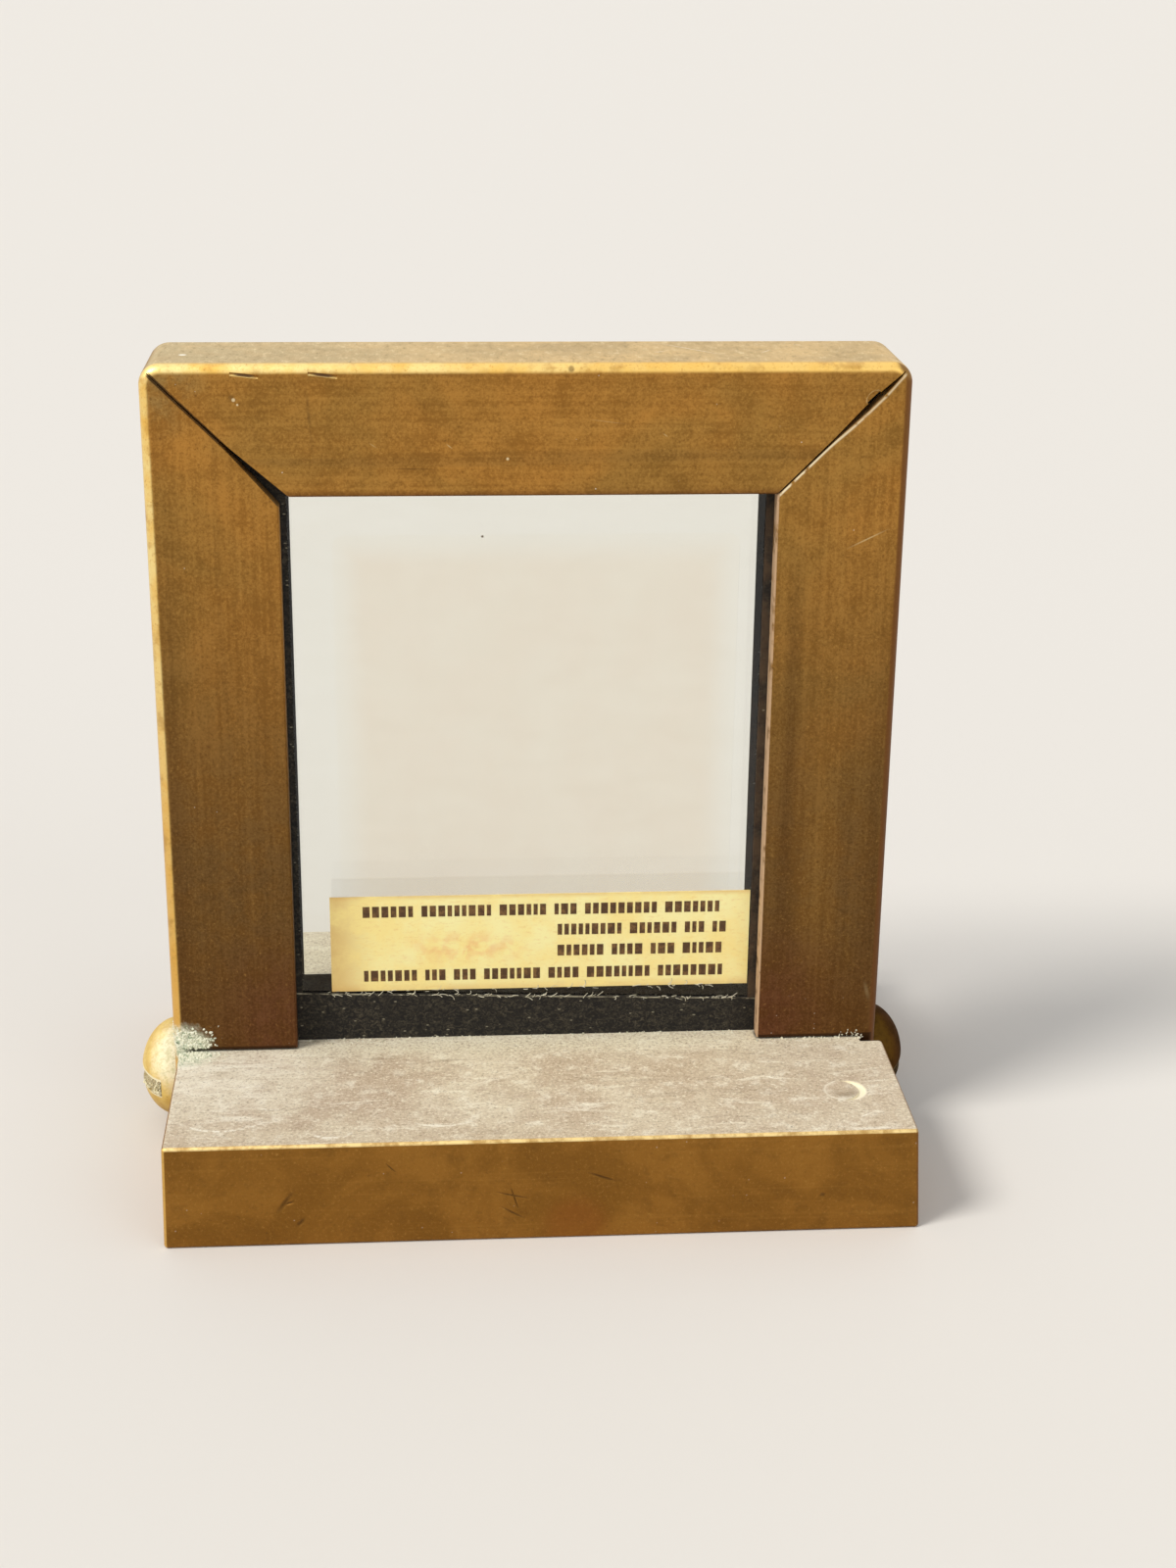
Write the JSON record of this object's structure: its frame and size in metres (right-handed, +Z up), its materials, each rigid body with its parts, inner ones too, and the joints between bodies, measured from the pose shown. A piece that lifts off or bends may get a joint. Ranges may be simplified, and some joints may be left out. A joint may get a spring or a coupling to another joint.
{
  "type": "diffraction grating",
  "caption": "Transmission grating film bound between two glass plates, held in an upright folded brass channel frame screwed to a brass base bar.",
  "frame": {"origin": "centre of the underside, on the surface that the base bar rests on", "axes": "+X to the right seen from the front, +Y towards the back, +Z up; the front faces -Y"},
  "size_m": [0.0704, 0.046, 0.0712],
  "materials": {
    "base_brass": "tarnished, worn bright on the front edge",
    "frame_brass": "brushed, olive-brown tarnish",
    "screw_brass": "satin",
    "plate_glass": "polished",
    "film": "clear, faintly orange",
    "black_paper": "matt, dusty",
    "label_paper": "yellowed"
  },
  "bodies": {
    "root": {"base_block": "base_brass", "channel_frame": "frame_brass", "left_screw": "screw_brass", "right_screw": "screw_brass", "front_glass": "plate_glass", "rear_glass": "plate_glass", "grating_film": "film", "left_binding": "black_paper", "right_binding": "black_paper", "top_binding": "black_paper", "bottom_binding": "black_paper", "label": "label_paper"}
  },
  "joints": []
}
